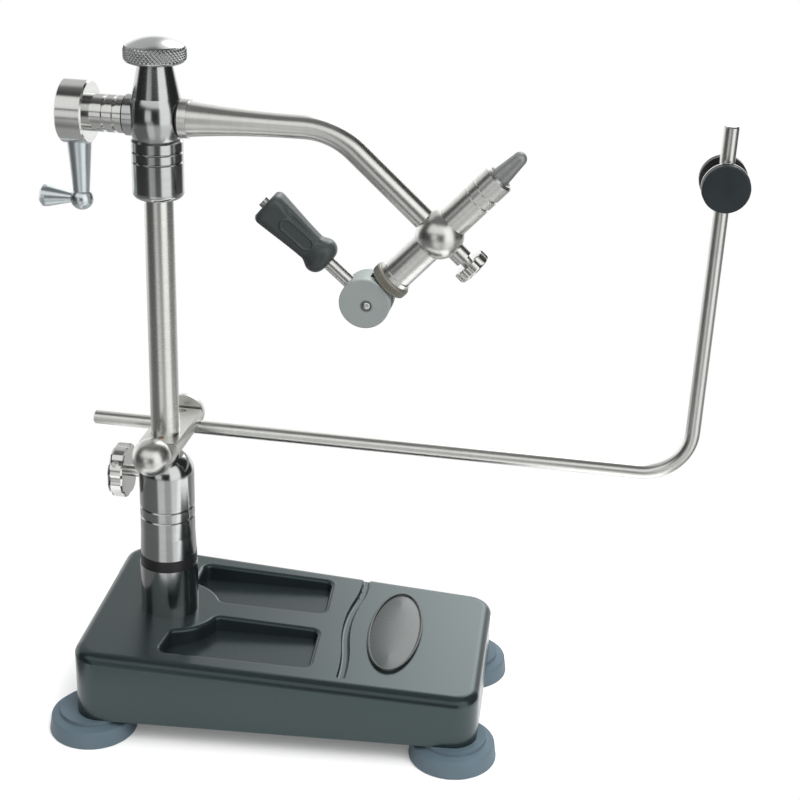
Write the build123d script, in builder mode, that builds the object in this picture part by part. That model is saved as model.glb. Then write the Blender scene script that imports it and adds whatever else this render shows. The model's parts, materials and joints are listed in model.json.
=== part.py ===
from build123d import *
import math
import os

# Fly tying vise on a pedestal base: a rotary head with cam-lever collet jaws and a thread cradle.
# Millimetres. X runs along the rotary axis towards the jaws, Z is up, and the feet stand on Z = 0.

# Fits: radial play of sliding and turning pieces, of fixed pieces, and free space between bodies
slip = 0.05
seat = 0.02
free = 0.3
overrun = 20.0

# Stem
stem_r = 5.0
stem_length = 147.0
stem_gap = 4.0
stem_chamfer = 0.8
stem_drop = 11.0

# Base casting, turned a little round the stem
base_turn = 2.9
base_behind = 25.8
base_ahead = 117.1
base_half_behind = 41.6
base_half_ahead = 37.1
base_under = 8.5
base_top_behind = 35.3
base_top_ahead = 27.5
base_corner = 9.0
base_edge = 3.5

# Trays in the base's top, round the column
tray_rear = ((6.0, 31.6), (55.4, 31.6), (56.3, 8.6), (6.0, 6.0))
tray_front = ((6.2, -4.6), (56.1, -4.1), (56.6, -28.6), (3.6, -31.8))
tray_round = 18.4
tray_round_ahead = 0.6
tray_floor = 27.0
tray_corner = 2.6
tray_lip = 1.5

# Wavy tool groove, with its bends along the base
groove_width = 3.2
groove_depth = 1.6
groove_round = 1.0
groove_rear_x = 67.6
groove_crest = (68.5, 28.5)
groove_turn = (67.5, 20.0)
groove_mid = (67.3, -11.5)
groove_front = (68.8, -32.0)

# Oval plate let into the base's top
badge_x = 83.8
badge_y = 1.5
badge_half_x = 9.8
badge_half_y = 27.2
badge_thick = 1.8
badge_sunk = 0.6
badge_edge = 0.7

# Feet and their screws
foot_r = 15.6
foot_top_r = 14.7
foot_wall = 6.1
foot_step_r = 11.6
foot_step = 7.0
foot_toe_round = 0.6
foot_round = 1.0
foot_in_behind = 5.1
foot_in_half_behind = 9.5
foot_in_ahead = 8.5
foot_in_half_ahead = 8.6
foot_screw_r = 2.0
foot_screw_head_r = 4.0
foot_screw_head = 2.2
foot_screw_recess = 1.6
foot_screw_length = 14.0

# Column, its rings and its bolt
socket_depth = 5.9
socket_r = 10.45
socket_height = 24.4
band_r = 10.2
band_height = 4.2
spigot_r = 7.0
column_r = 9.75
column_foot_r = 10.1
column_flare = 8.0
column_length = 31.8
column_crown = 6.6
column_crown_r = 6.2
column_line_rises = (15.0, 19.0)
line_depth = 0.35
line_half = 0.4
column_bore_sunk = 2.6
bolt_r = 4.0
bolt_length = 29.6
bolt_head_flats = 13.0
bolt_head = 5.3
bolt_washer_r = 8.5
bolt_washer = 1.6
bolt_pocket_r = 9.4
bolt_pocket = 9.5

# Stem lock: a thumb screw through the column's wall
lock_drop = 1.4
lock_screw_r = 2.1
lock_shoe_r = 2.0
lock_shoe = 1.1
lock_knob_r = 9.7
lock_knob_gap = 3.85
lock_knob = 5.6
lock_knob_socket = 4.0
lock_lobes = 8
lock_lobe_cut_r = 5.0
lock_lobe_depth = 0.6
lock_hole_r = 1.25
lock_hole_depth = 3.0
lock_hole_turn = 36.0
lock_edge = 0.5
lock_round = 1.5

# Rotary housing, turned about the stem, with its heights from the spindle
sleeve_r = 8.7
sleeve_drop = 27.2
sleeve_round = 2.6
sleeve_line_drops = (14.4, 11.1)
waist_drop = 7.0
waist_r = 8.0
barrel_r = 9.35
barrel_rise = 6.8
neck_r = 8.0
neck_rise = 17.2
neck_top_r = 5.8
boss_r = 6.8
boss_rear = 9.7
boss_front = 7.9

# Spindle, bushes, washers and drag
spindle_r = 3.5
bush_r = 5.4
bush_length = 5.0
washer_r = 6.2
washer = 0.6
drag_r = 2.5
drag_shoe = 3.2
drag_knob_r = 10.3
drag_knob_foot_r = 8.4
drag_knob_skirt = 1.2
drag_knurl = 4.6
drag_dome = 2.6
drag_socket = 5.5

# Crank behind the housing
collar_r = 6.2
collar_length = 11.9
collar_line_places = (2.6, 6.2)
collar_line_half = 0.55
collar_line_depth = 0.65
hub_length = 9.1
hub_r = 10.45
hub_edge = 0.5
hub_bite = 8.2
hub_screw_r = 1.5
hub_screw = 5.0
crank_peg_r = 2.5
crank_peg = 6.0
crank_top_r = 4.2
crank_low_r = 2.6
crank_throw = 29.5
crank_ball_r = 3.9
crank_knob_length = 10.6
crank_knob_neck_r = 1.7
crank_knob_end_r = 3.7
crank_knob_rim = 2.2
crank_knob_edge = 0.9
crank_knob_peg_r = 1.2
crank_knob_peg = 2.4

# Swan-neck arm: a flared root on the spindle, then a bend down to the ball
arm_bite = 9.7
arm_root = 2.8
arm_root_r = 6.37
arm_flare = 34.7
arm_flare_r = 5.8
arm_r = 3.85
arm_bend = 25.0
arm_angle = 42.0
ball_x = 94.46
ball_drop = 32.06
ball_r = 8.1

# Head tube along the jaws' axis, measured from the ball's centre
head_angle = 47.6
tube_r = 5.3
tube_front = 27.83
tube_back = 19.87
tube_bore_r = 3.6
tube_mouth_r = 4.0
tube_mouth = 6.0
tube_front_edge = 0.8
tube_line_places = (6.7, 10.4)
tube_line_half = 0.45
tube_line_depth = 0.6
tube_flange_r = 5.8
tube_flange = 1.4
tube_thread_r = 4.6
tube_thread = 3.2
tube_shoulder_r = 2.1
tube_shoulder = 2.0

# Jaw lock: a thumb screw into the ball, square to the tube
jaw_screw_r = 2.0
jaw_shoe = 1.0
jaw_boss_r = 3.2
jaw_boss = 3.2
jaw_knob_gap = 4.9
jaw_knob = 3.8
jaw_knob_r = 6.0
jaw_knob_lobes = 8
jaw_knob_cut_r = 2.6
jaw_knob_cut_depth = 0.5
jaw_knob_socket = 2.6
jaw_edge = 0.4
jaw_round = 1.0

# Collet jaws, draw rod and return spring
collet_reach = 10.8
collet_length = 35.9
collet_play = 0.2
collet_wedge_play = 0.07
collet_nose_r = 3.25
collet_tip_r = 2.3
collet_slit = 0.5
collet_slit_depth = 27.9
draw_rod_r = 1.9
draw_peg = 5.0
draw_peg_r = 1.5
draw_eye_r = 3.2
spring_r = 2.85
spring_wire_r = 0.4
spring_turns = 8

# Adjusting ring and cam lever
ring_r = 6.8
ring_thick = 3.7
ring_round = 1.0
cam_r = 8.5
cam_half = 5.8
cam_offset = 1.0
cam_play = 0.1
cam_edge = 0.3
cam_pin_r = 1.4
lever_rest = 91.6
lever_swing = 90.0
lever_rod_r = 2.35
lever_socket = 4.0
lever_bite = 22.9
grip_near = 18.3
grip_length = 28.3
grip_collar = 3.7
grip_neck = 7.6
grip_waist = 13.8
grip_swell = 26.4
grip_collar_half = 6.35
grip_neck_half = 4.7
grip_waist_half = 4.75
grip_swell_half = 5.9
grip_flat_share = 0.9
grip_corner_share = 0.6
grip_near_share = 0.6
grip_far_share = 0.86
grip_frame_place = 14.0
grip_frame_long = 13.0
grip_frame_wide = 4.4
grip_frame_line = 0.6
grip_frame_rise = 0.3
grip_screw_r = 1.9
grip_screw = 1.4

# Thread cradle: clamp block on the stem, bent rod and bobbin rest
clamp_rise = 6.0
clamp_r = 7.0
clamp_front = 9.0
clamp_rear = 24.0
clamp_flat = 2.4
clamp_flat_end = 23.0
clamp_step = 1.0
clamp_relief = 0.85
clamp_screw_r = 2.5
clamp_shoe = 1.0
clamp_ball_r = 6.7
clamp_ball_socket = 4.0
rod_r = 2.5
rod_y = 19.5
rod_drop = 3.4
rod_tail = 33.0
rod_corner_x = 182.4
rod_lean = 0.76
rod_height = 124.0
rod_bend = 17.0
rod_chamfer = 0.4
rod_screw_r = 1.5
rod_screw_sunk = 0.6
spool_drop = 19.0
spool_turn = 4.0
spool_hub_r = 6.4
spool_half = 4.2
spool_rim_r = 7.9
spool_rim = 0.8
spool_disc_r = 7.8
spool_disc = 2.9
spool_disc_round = 0.6

# Heights above the floor, from the base up
base_slope = math.atan2(base_top_behind - base_top_ahead, base_behind + base_ahead)
base_top_stem = base_top_behind - base_behind * math.tan(base_slope)
socket_floor = base_top_stem - socket_depth
socket_top = socket_floor + socket_height
band_top = socket_top + band_height
column_shoulder = band_top + column_length
column_top = column_shoulder + column_crown
column_bore_floor = band_top - column_bore_sunk
bolt_pocket_roof = base_under + bolt_pocket
bolt_seat = bolt_pocket_roof - bolt_washer
lock_z = column_shoulder - lock_drop
stem_foot = column_bore_floor + stem_gap
stem_head = stem_foot + stem_length
spindle_z = stem_head + stem_drop
sleeve_foot = spindle_z - sleeve_drop
waist_z = spindle_z - waist_drop
barrel_top = spindle_z + barrel_rise
neck_top = spindle_z + neck_rise
ball_z = spindle_z - ball_drop
clamp_z = column_top + clamp_rise
rod_z = clamp_z - rod_drop
rod_top = rod_z + rod_height
spool_z = rod_top - spool_drop

# Places along the spindle, out from the stem
rear_end = boss_rear + washer
front_end = boss_front + washer
hub_near = rear_end + collar_length
hub_far = hub_near + hub_length
crank_x = hub_near + hub_length / 2
knob_start = math.sqrt(crank_ball_r**2 - crank_knob_neck_r**2)
arm_flare_start = front_end + arm_root
arm_flare_end = arm_flare_start + arm_flare

# The groove's rear end, out past the side of the casting whichever of its ends is the wider
groove_rear_y = max(base_half_behind, base_half_ahead)

# Where the feet stand round the stem, and where the stem stands for the part to be centred
turn_cos = math.cos(math.radians(base_turn))
turn_sin = math.sin(math.radians(base_turn))
foot_behind = base_behind - foot_in_behind
foot_half_behind = base_half_behind - foot_in_half_behind
foot_ahead = base_ahead - foot_in_ahead
foot_half_ahead = base_half_ahead - foot_in_half_ahead
foot_places = {
    "rear_left": (-foot_behind, foot_half_behind),
    "front_left": (-foot_behind, -foot_half_behind),
    "rear_right": (foot_ahead, foot_half_ahead),
    "front_right": (foot_ahead, -foot_half_ahead),
}
foot_ys = [along * turn_sin + across * turn_cos for along, across in foot_places.values()]
lean_sin = math.sin(math.radians(rod_lean))
lean_cos = math.cos(math.radians(rod_lean))
spool_sin = math.sin(math.radians(spool_turn))
spool_cos = math.cos(math.radians(spool_turn))
rod_top_x = rod_corner_x + rod_height * lean_sin / lean_cos
spool_x = rod_top_x - spool_drop * lean_sin / lean_cos
rim_end = spool_half + spool_rim
spool_reach = spool_disc_r * spool_cos + (rim_end + spool_disc - spool_disc_round) * spool_sin
stem_x = (crank_x + knob_start + crank_knob_length - spool_x - spool_reach) / 2
stem_y = -(max(foot_ys) + min(foot_ys)) / 2

# Planes and axes
upright = Plane(origin=(stem_x, stem_y, 0))
side = Plane(origin=(stem_x, stem_y, 0), x_dir=(1, 0, 0), z_dir=(0, -1, 0))
stem_axis = Axis((stem_x, stem_y, 0), (0, 0, 1))
lock_face = Plane(origin=(stem_x, stem_y, lock_z), x_dir=(0, 1, 0), z_dir=(-1, 0, 0))
spindle_side = Plane(origin=(stem_x, stem_y, spindle_z), x_dir=(1, 0, 0), z_dir=(0, -1, 0))
spindle_face = Plane(origin=(stem_x, stem_y, spindle_z), x_dir=(0, 1, 0), z_dir=(1, 0, 0))
spindle_axis = Axis((stem_x, stem_y, spindle_z), (1, 0, 0))

base_plane = Plane(origin=(stem_x, stem_y, 0), x_dir=(turn_cos, turn_sin, 0), z_dir=(0, 0, 1))
top_normal = (math.sin(base_slope) * turn_cos, math.sin(base_slope) * turn_sin, math.cos(base_slope))
top_plane = Plane(
    origin=(stem_x, stem_y, base_top_stem),
    x_dir=(math.cos(base_slope) * turn_cos, math.cos(base_slope) * turn_sin, -math.sin(base_slope)),
    z_dir=top_normal,
)

head_cos = math.cos(math.radians(head_angle))
head_sin = math.sin(math.radians(head_angle))
head_dir = (head_cos, 0, head_sin)
head_down = (head_sin, 0, -head_cos)
ball_at = (stem_x + ball_x, stem_y, ball_z)
head_side = Plane(origin=ball_at, x_dir=head_dir, z_dir=(0, -1, 0))
head_face = Plane(origin=ball_at, x_dir=(0, 1, 0), z_dir=head_dir)
head_axis = Axis(ball_at, head_dir)
jaw_lock_face = Plane(origin=ball_at, x_dir=(0, 1, 0), z_dir=head_down)

collet_r = tube_bore_r - collet_play
collet_tip = tube_front + collet_reach
collet_tail = collet_tip - collet_length
ring_front = -tube_back - tube_flange
ring_back = ring_front - ring_thick
cam_pivot = ring_back - cam_r - cam_play
cam_at = (ball_at[0] + cam_pivot * head_cos, stem_y, ball_at[2] + cam_pivot * head_sin)
lever_angle = math.radians(head_angle + lever_rest)
lever_dir = (math.cos(lever_angle), 0, math.sin(lever_angle))
cam_side = Plane(origin=cam_at, x_dir=lever_dir, z_dir=(0, -1, 0))
lever_face = Plane(origin=cam_at, x_dir=(0, 1, 0), z_dir=lever_dir)
lever_rod_end = grip_near + lever_bite
grip_far = grip_near + grip_length

clamp_face = Plane(origin=(stem_x, stem_y, clamp_z), x_dir=(1, 0, 0), z_dir=(0, 1, 0))
rod_plane = Plane(origin=(stem_x, stem_y + rod_y, 0), x_dir=(1, 0, 0), z_dir=(0, -1, 0))
lean_dir = (lean_sin, 0, lean_cos)
spool_at = (stem_x + spool_x, stem_y + rod_y, spool_z)
spool_face = Plane(origin=spool_at, x_dir=(spool_cos, spool_sin, 0), z_dir=(-spool_sin, spool_cos, 0))

os.makedirs("parts", exist_ok=True)


def write(builder, name):
    """Label a finished piece and write it as its own node."""
    builder.part.label = name
    export_step(builder.part, f"parts/{name}.step")


def tube(plane, start, end, outer, inner=0):
    """A plain rod, or a ring with a bore, along the plane's normal."""
    with BuildPart() as piece:
        with BuildSketch(plane.offset(start)):
            Circle(outer)
            if inner > 0:
                Circle(inner, mode=Mode.SUBTRACT)
        extrude(amount=end - start)
    return piece


def line_cutter(radius, heights):
    """Rings that cut fine V lines round an upright turned piece."""
    with BuildPart() as cutter:
        with BuildSketch(side):
            for height in heights:
                with BuildLine():
                    Polyline(
                        (radius, height - line_half),
                        (radius - line_depth, height),
                        (radius, height + line_half),
                        close=True,
                    )
                make_face()
        revolve(axis=stem_axis)
    return cutter.part


# Trays: two pockets with a level floor, rounded off about the column
with BuildPart() as tray_pockets:
    with BuildSketch(top_plane) as trays:
        for corners in (tray_rear, tray_front):
            with BuildLine():
                Polyline(*corners, close=True)
            make_face()
        with Locations((tray_round_ahead, 0)):
            Circle(tray_round, mode=Mode.SUBTRACT)
        fillet(trays.vertices(), tray_corner)
    extrude(amount=-overrun)
    split(bisect_by=upright.offset(tray_floor), keep=Keep.TOP)

# Base casting
foot_screw_neck = foot_screw_recess + foot_screw_head
with BuildPart() as base_casting:
    with BuildSketch(base_plane.offset(base_under)) as footprint:
        with BuildLine():
            Polyline(
                (-base_behind, -base_half_behind),
                (base_ahead, -base_half_ahead),
                (base_ahead, base_half_ahead),
                (-base_behind, base_half_behind),
                close=True,
            )
        make_face()
        fillet(footprint.vertices(), base_corner)
    extrude(amount=base_top_behind + overrun)
    split(bisect_by=top_plane, keep=Keep.BOTTOM)
    fillet(base_casting.faces().sort_by(Axis.Z)[-1].edges(), base_edge)
    add(tray_pockets.part, mode=Mode.SUBTRACT)
    tray_face = base_casting.faces().sort_by(Axis(top_plane.origin, top_normal))[-1]
    fillet([edge for rim in tray_face.inner_wires() for edge in rim.edges()], tray_lip)
    with BuildSketch(top_plane):
        with BuildLine():
            rear_bend = ThreePointArc((groove_rear_x, groove_rear_y), groove_crest, groove_turn)
            mid_bend = TangentArc(rear_bend @ 1, groove_mid, tangent=rear_bend % 1)
            TangentArc(mid_bend @ 1, groove_front, tangent=mid_bend % 1)
        trace(line_width=groove_width)
        with Locations(groove_front):
            Circle(groove_width / 2)
    extrude(amount=-groove_depth, mode=Mode.SUBTRACT)
    groove_foot = base_casting.edges(Select.LAST).group_by(Axis(top_plane.origin, top_normal))[0]
    fillet(groove_foot, groove_round)
    with BuildSketch(top_plane):
        with Locations((badge_x, badge_y)):
            Ellipse(badge_half_x + seat, badge_half_y + seat)
    extrude(amount=-badge_sunk, mode=Mode.SUBTRACT)
    with BuildSketch(upright.offset(socket_floor)):
        Circle(socket_r + seat)
    extrude(amount=base_top_behind, mode=Mode.SUBTRACT)
    with BuildSketch(upright.offset(base_under)):
        Circle(bolt_r + slip)
    extrude(amount=socket_floor, mode=Mode.SUBTRACT)
    with BuildSketch(upright.offset(base_under)):
        Circle(bolt_pocket_r)
    extrude(amount=bolt_pocket_roof - base_under, mode=Mode.SUBTRACT)
    with BuildSketch(base_plane.offset(base_under)):
        with Locations(*foot_places.values()):
            Circle(foot_screw_r + seat)
    extrude(amount=foot_screw_neck + foot_screw_length - base_under + seat, mode=Mode.SUBTRACT)
write(base_casting, "base_casting")

# Blank oval plate
with BuildPart() as badge_plate:
    with BuildSketch(top_plane.offset(-badge_sunk)):
        with Locations((badge_x, badge_y)):
            Ellipse(badge_half_x, badge_half_y)
    extrude(amount=badge_thick)
    fillet(badge_plate.faces().sort_by(Axis.Z)[-1].edges(), badge_edge)
write(badge_plate, "badge_plate")

# Rubber feet with their screws in recesses underneath
with BuildPart() as foot_screws:
    for place in foot_places.values():
        with BuildSketch(base_plane.offset(foot_screw_recess)):
            with Locations(place):
                Circle(foot_screw_head_r)
        extrude(amount=foot_screw_head)
        with BuildSketch(base_plane.offset(foot_screw_neck)):
            with Locations(place):
                Circle(foot_screw_r)
        extrude(amount=foot_screw_length)
write(foot_screws, "foot_screws")

for foot_name, place in foot_places.items():
    foot_at = base_plane.from_local_coords((*place, 0))
    with BuildPart() as foot:
        with BuildSketch(Plane(origin=foot_at, x_dir=(1, 0, 0), z_dir=(0, -1, 0))) as foot_outline:
            with BuildLine():
                Polyline(
                    (0, 0),
                    (foot_r, 0),
                    (foot_top_r, foot_wall),
                    (foot_step_r, foot_step),
                    (foot_step_r, base_under),
                    (0, base_under),
                    close=True,
                )
            make_face()
            fillet(foot_outline.vertices().sort_by(Axis.X)[-1], foot_toe_round)
            fillet(foot_outline.vertices().filter_by_position(Axis.Y, foot_wall, foot_wall), foot_round)
        revolve(axis=Axis(foot_at, (0, 0, 1)))
        with BuildSketch(base_plane):
            with Locations(place):
                Circle(foot_screw_head_r + slip)
        extrude(amount=foot_screw_neck, mode=Mode.SUBTRACT)
        with BuildSketch(base_plane):
            with Locations(place):
                Circle(foot_screw_r + slip)
        extrude(amount=base_under, mode=Mode.SUBTRACT)
    write(foot, f"foot_{foot_name}")

# Column with its rings and bolt
write(tube(upright, socket_floor, socket_top, socket_r, spigot_r + seat), "socket_ring")
write(tube(upright, socket_top, band_top, band_r, spigot_r + seat), "band_washer")

with BuildPart() as column:
    with BuildSketch(side):
        with BuildLine():
            Polyline(
                (column_crown_r, column_top),
                (0, column_top),
                (0, socket_floor),
                (spigot_r, socket_floor),
                (spigot_r, band_top),
                (column_foot_r, band_top),
                (column_r, band_top + column_flare),
                (column_r, column_shoulder),
            )
            TangentArc((column_r, column_shoulder), (column_crown_r, column_top), tangent=(0, 1))
        make_face()
    revolve(axis=stem_axis)
    add(line_cutter(column_r, [band_top + rise for rise in column_line_rises]), mode=Mode.SUBTRACT)
    with BuildSketch(upright.offset(column_bore_floor)):
        Circle(stem_r + slip)
    extrude(amount=column_top, mode=Mode.SUBTRACT)
    with BuildSketch(upright.offset(socket_floor)):
        Circle(bolt_r + seat)
    extrude(amount=bolt_seat + bolt_length + seat - socket_floor, mode=Mode.SUBTRACT)
    with BuildSketch(lock_face):
        Circle(lock_screw_r + slip)
    extrude(amount=column_r + overrun, mode=Mode.SUBTRACT)
write(column, "column")

with BuildPart() as column_bolt:
    with BuildSketch(upright.offset(bolt_seat - bolt_head)):
        RegularPolygon(bolt_head_flats / 2, 6, major_radius=False)
    extrude(amount=bolt_head)
    with BuildSketch(upright.offset(bolt_seat)):
        Circle(bolt_r)
    extrude(amount=bolt_length)
write(column_bolt, "column_bolt")
write(tube(upright, bolt_seat, bolt_pocket_roof, bolt_washer_r, bolt_r + slip), "bolt_washer")

# Stem lock screw with its scalloped knob
lock_knob_near = column_r + lock_knob_gap
lock_tip = stem_r + slip + lock_shoe
write(tube(lock_face, stem_r + slip, lock_tip, lock_shoe_r), "stem_lock_shoe")
write(tube(lock_face, lock_tip, lock_knob_near + lock_knob_socket, lock_screw_r), "stem_lock_screw")


def thumb_knob(plane, thick, radius, lobes, cut_r, cut_depth, edge, outer_round):
    """A thumb knob with scallops round its rim, rounded off at its outer face."""
    with BuildPart() as knob:
        with BuildSketch(plane):
            Circle(radius)
            with PolarLocations(radius + cut_r - cut_depth, lobes):
                Circle(cut_r, mode=Mode.SUBTRACT)
        extrude(amount=thick)
        ends = knob.faces().filter_by(GeomType.PLANE).sort_by(Axis(plane.origin, plane.z_dir))
        chamfer(ends[0].edges(), edge)
        outer_face = knob.faces().filter_by(GeomType.PLANE).sort_by(Axis(plane.origin, plane.z_dir))[-1]
        fillet(outer_face.edges(), outer_round)
    return knob


lock_blank = thumb_knob(
    lock_face.offset(lock_knob_near),
    lock_knob,
    lock_knob_r,
    lock_lobes,
    lock_lobe_cut_r,
    lock_lobe_depth,
    lock_edge,
    lock_round,
)
hole_cos = math.cos(math.radians(lock_hole_turn))
hole_sin = math.sin(math.radians(lock_hole_turn))
lock_hole_at = lock_face.offset(lock_knob_near + lock_knob / 2).origin
lock_hole_plane = Plane(origin=lock_hole_at, x_dir=(1, 0, 0), z_dir=(0, -hole_cos, hole_sin))
with BuildPart() as stem_lock_knob:
    add(lock_blank.part)
    with BuildSketch(lock_face.offset(lock_knob_near)):
        Circle(lock_screw_r + seat)
    extrude(amount=lock_knob_socket + seat, mode=Mode.SUBTRACT)
    with BuildSketch(lock_hole_plane.offset(lock_knob_r - lock_hole_depth)):
        Circle(lock_hole_r)
    extrude(amount=overrun, mode=Mode.SUBTRACT)
write(stem_lock_knob, "stem_lock_knob")

# Stem
with BuildPart() as stem:
    with BuildSketch(upright.offset(stem_foot)):
        Circle(stem_r)
    extrude(amount=stem_head - stem_foot)
    chamfer(stem.edges().filter_by(GeomType.CIRCLE).sort_by(Axis.Z)[0], stem_chamfer)
write(stem, "stem")

# Rotary housing
with BuildPart() as rotary_housing:
    with BuildSketch(side) as housing_outline:
        with BuildLine():
            Polyline(
                (waist_r, waist_z),
                (sleeve_r, waist_z - (sleeve_r - waist_r)),
                (sleeve_r, sleeve_foot),
                (0, sleeve_foot),
                (0, neck_top),
                (neck_top_r, neck_top),
                (neck_r, barrel_top),
            )
            ThreePointArc(
                (neck_r, barrel_top),
                (barrel_r, spindle_z),
                (waist_r, waist_z),
            )
        make_face()
        fillet(housing_outline.vertices().group_by(Axis.Y)[0].sort_by(Axis.X)[-1], sleeve_round)
    revolve(axis=stem_axis)
    add(line_cutter(sleeve_r, [spindle_z - drop for drop in sleeve_line_drops]), mode=Mode.SUBTRACT)
    with BuildSketch(spindle_face.offset(-boss_rear)):
        Circle(boss_r)
    extrude(amount=boss_rear)
    with BuildSketch(spindle_face.offset(boss_front)):
        Circle(arm_root_r + free)
    extrude(amount=overrun, mode=Mode.SUBTRACT)
    with BuildSketch(spindle_face.offset(-overrun)):
        Circle(bush_r + seat)
    extrude(amount=overrun * 2, mode=Mode.SUBTRACT)
    with BuildSketch(upright.offset(spindle_z)):
        Circle(drag_r + slip)
    extrude(amount=overrun, mode=Mode.SUBTRACT)
    with BuildSketch(upright.offset(sleeve_foot)):
        Circle(stem_r + seat)
    extrude(amount=stem_head - sleeve_foot, mode=Mode.SUBTRACT)
write(rotary_housing, "rotary_housing")

# Bushes and thrust washers
write(tube(spindle_face, -boss_rear, -boss_rear + bush_length, bush_r, spindle_r + slip), "bush_rear")
write(tube(spindle_face, boss_front - bush_length, boss_front, bush_r, spindle_r + slip), "bush_front")
write(tube(spindle_face, -rear_end, -boss_rear, washer_r, spindle_r + slip), "thrust_washer_rear")
write(tube(spindle_face, boss_front, front_end, washer_r, spindle_r + slip), "thrust_washer_front")

# Drag shoe, screw and knob above the spindle
shoe_top = spindle_z + spindle_r + drag_shoe
with BuildPart() as drag_shoe_piece:
    with BuildSketch(upright.offset(spindle_z)):
        Circle(drag_r)
    extrude(amount=shoe_top - spindle_z)
    with BuildSketch(spindle_face.offset(-overrun)):
        Circle(spindle_r + slip)
    extrude(amount=overrun * 2, mode=Mode.SUBTRACT)
write(drag_shoe_piece, "drag_shoe")

drag_foot = neck_top + free
write(tube(upright, shoe_top, drag_foot + drag_socket, drag_r), "drag_screw")

with BuildPart() as drag_knob:
    knurl_top = drag_foot + drag_knob_skirt + drag_knurl
    with BuildSketch(side):
        with BuildLine():
            Polyline(
                (0, knurl_top + drag_dome),
                (0, drag_foot + drag_socket + seat),
                (drag_r + seat, drag_foot + drag_socket + seat),
                (drag_r + seat, drag_foot),
                (drag_knob_foot_r, drag_foot),
                (drag_knob_r, drag_foot + drag_knob_skirt),
                (drag_knob_r, knurl_top),
            )
            TangentArc((0, knurl_top + drag_dome), (drag_knob_r, knurl_top), tangent=(1, 0))
        make_face()
    revolve(axis=stem_axis)
write(drag_knob, "drag_knob")

# Spindle with its grooved collar
spindle_back = hub_near + hub_bite
spindle_front = front_end + arm_bite
write(tube(spindle_face, -spindle_back, spindle_front, spindle_r), "spindle")
with BuildPart() as spindle_collar:
    with BuildSketch(spindle_face.offset(-hub_near)):
        Circle(collar_r)
        Circle(spindle_r + seat, mode=Mode.SUBTRACT)
    extrude(amount=collar_length)
    with BuildSketch(spindle_side):
        for place in collar_line_places:
            with Locations((-rear_end - place, collar_r)):
                Rectangle(collar_line_half * 2, collar_line_depth * 2)
    revolve(axis=spindle_axis, mode=Mode.SUBTRACT)
write(spindle_collar, "spindle_collar")

# Crank hub, arm and knob
crank_at = (stem_x - crank_x, stem_y, spindle_z)
crank_axis_plane = Plane(origin=crank_at, x_dir=(1, 0, 0), z_dir=(0, 0, -1))
hub_screw_plane = Plane(origin=crank_at, x_dir=(1, 0, 0), z_dir=(0, 1, 0))
peg_top = hub_r - crank_peg
with BuildPart() as crank_hub:
    with BuildSketch(spindle_face.offset(-hub_far)):
        Circle(hub_r)
    extrude(amount=hub_length)
    chamfer(crank_hub.edges().filter_by(GeomType.CIRCLE), hub_edge)
    with BuildSketch(spindle_face.offset(-spindle_back - seat)):
        Circle(spindle_r + seat)
    extrude(amount=spindle_back, mode=Mode.SUBTRACT)
    with BuildSketch(crank_axis_plane.offset(peg_top - seat)):
        Circle(crank_peg_r + seat)
    extrude(amount=overrun, mode=Mode.SUBTRACT)
    with BuildSketch(hub_screw_plane):
        Circle(hub_screw_r + seat)
    extrude(amount=overrun, mode=Mode.SUBTRACT)
write(crank_hub, "crank_hub")
write(tube(hub_screw_plane, spindle_r + seat, spindle_r + seat + hub_screw, hub_screw_r), "hub_screw")

crank_root = math.sqrt(hub_r**2 - crank_top_r**2)
crank_ball_at = (stem_x - crank_x, stem_y, spindle_z - crank_throw)
knob_face = Plane(origin=crank_ball_at, x_dir=(0, 1, 0), z_dir=(-1, 0, 0))
with BuildPart() as crank_arm:
    with BuildSketch(crank_axis_plane.offset(crank_root)):
        Circle(crank_top_r)
    with BuildSketch(crank_axis_plane.offset(crank_throw)):
        Circle(crank_low_r)
    loft()
    with Locations(crank_ball_at):
        Sphere(crank_ball_r)
    with BuildSketch(spindle_face.offset(-hub_far)):
        Circle(hub_r)
    extrude(amount=hub_length, mode=Mode.SUBTRACT)
    with BuildSketch(crank_axis_plane.offset(peg_top)):
        Circle(crank_peg_r)
    extrude(amount=crank_root - peg_top + crank_peg_r)
    with BuildSketch(knob_face.offset(knob_start)):
        Circle(crank_ball_r)
    extrude(amount=overrun, mode=Mode.SUBTRACT)
    with BuildSketch(knob_face.offset(knob_start - crank_knob_peg - seat)):
        Circle(crank_knob_peg_r + seat)
    extrude(amount=overrun, mode=Mode.SUBTRACT)
write(crank_arm, "crank_arm")

with BuildPart() as crank_knob:
    knob_end = knob_start + crank_knob_length
    with BuildSketch(knob_face.offset(knob_start)):
        Circle(crank_knob_neck_r)
    with BuildSketch(knob_face.offset(knob_end - crank_knob_rim)):
        Circle(crank_knob_end_r)
    loft()
    with BuildSketch(knob_face.offset(knob_end - crank_knob_rim)):
        Circle(crank_knob_end_r)
    extrude(amount=crank_knob_rim)
    chamfer(crank_knob.edges().filter_by(GeomType.CIRCLE).sort_by(Axis.X)[0], crank_knob_edge)
    with BuildSketch(knob_face.offset(knob_start - crank_knob_peg)):
        Circle(crank_knob_peg_r)
    extrude(amount=crank_knob_peg)
write(crank_knob, "crank_knob")

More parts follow.
